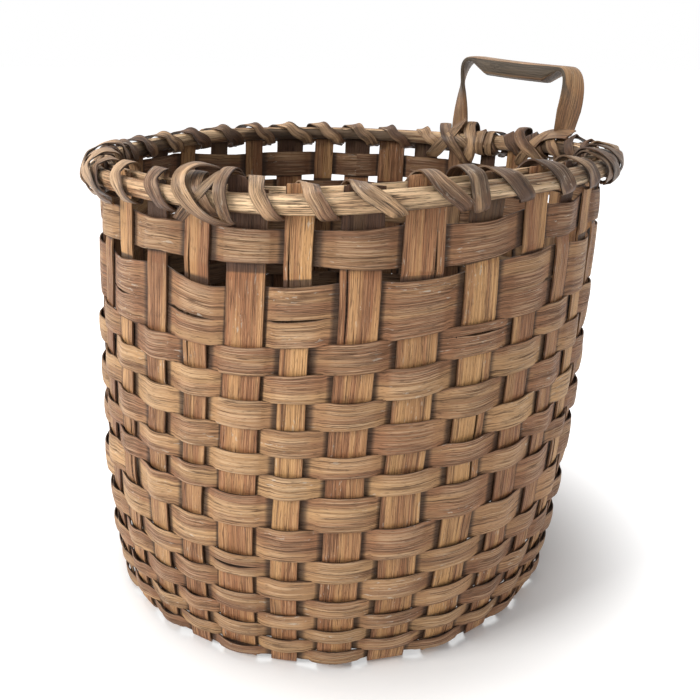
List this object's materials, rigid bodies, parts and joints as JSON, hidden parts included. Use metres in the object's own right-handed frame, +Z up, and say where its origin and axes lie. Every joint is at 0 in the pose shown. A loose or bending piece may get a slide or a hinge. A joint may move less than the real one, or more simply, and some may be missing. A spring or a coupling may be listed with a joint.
{
  "type": "splint gathering basket",
  "caption": "Round open gathering basket woven from wide wooden splints, with a lashed double-hoop rim and a carved ear handle.",
  "frame": {"origin": "on the ground under the middle of the whole basket", "axes": "+Z up through the open mouth, -Y the front of the picture, the ear handle at the back right (+X, +Y)"},
  "size_m": [0.4296, 0.4226, 0.4358],
  "materials": {
    "upright_splint": "aged matte, open grain",
    "weaver_splint": "aged matte, open grain",
    "rim_hoop": "worn satin",
    "lashing_splint": "aged matte",
    "handle_wood": "worn satin from use"
  },
  "bodies": {
    "root": {"splint_front_01": "upright_splint", "splint_front_02": "upright_splint", "splint_front_03": "upright_splint", "splint_front_04": "upright_splint", "splint_front_05": "upright_splint", "splint_front_06": "upright_splint", "splint_front_07": "upright_splint", "splint_front_08": "upright_splint", "splint_front_09": "upright_splint", "splint_side_01": "upright_splint", "splint_side_02": "upright_splint", "splint_side_03": "upright_splint", "splint_side_04": "upright_splint", "splint_side_05": "upright_splint", "splint_side_06": "upright_splint", "splint_side_07": "upright_splint", "splint_side_08": "upright_splint", "filler_front": "upright_splint", "filler_back": "upright_splint", "filler_left": "upright_splint", "filler_right": "upright_splint", "weaver_01": "weaver_splint", "weaver_02": "weaver_splint", "weaver_03": "weaver_splint", "weaver_04": "weaver_splint", "weaver_05": "weaver_splint", "weaver_06": "weaver_splint", "weaver_07": "weaver_splint", "weaver_08": "weaver_splint", "weaver_09": "weaver_splint", "weaver_10": "weaver_splint", "weaver_11": "weaver_splint", "weaver_12": "weaver_splint", "weaver_13": "weaver_splint", "weaver_14": "weaver_splint", "weaver_15": "weaver_splint", "weaver_16": "weaver_splint", "weaver_17": "weaver_splint", "hoop_outer": "rim_hoop", "hoop_inner": "rim_hoop", "lashing_right": "lashing_splint", "lashing_left": "lashing_splint", "cross_lash_left_leg": "lashing_splint", "cross_lash_right_leg": "lashing_splint", "cross_lash_front": "lashing_splint", "handle": "handle_wood"}
  },
  "joints": []
}
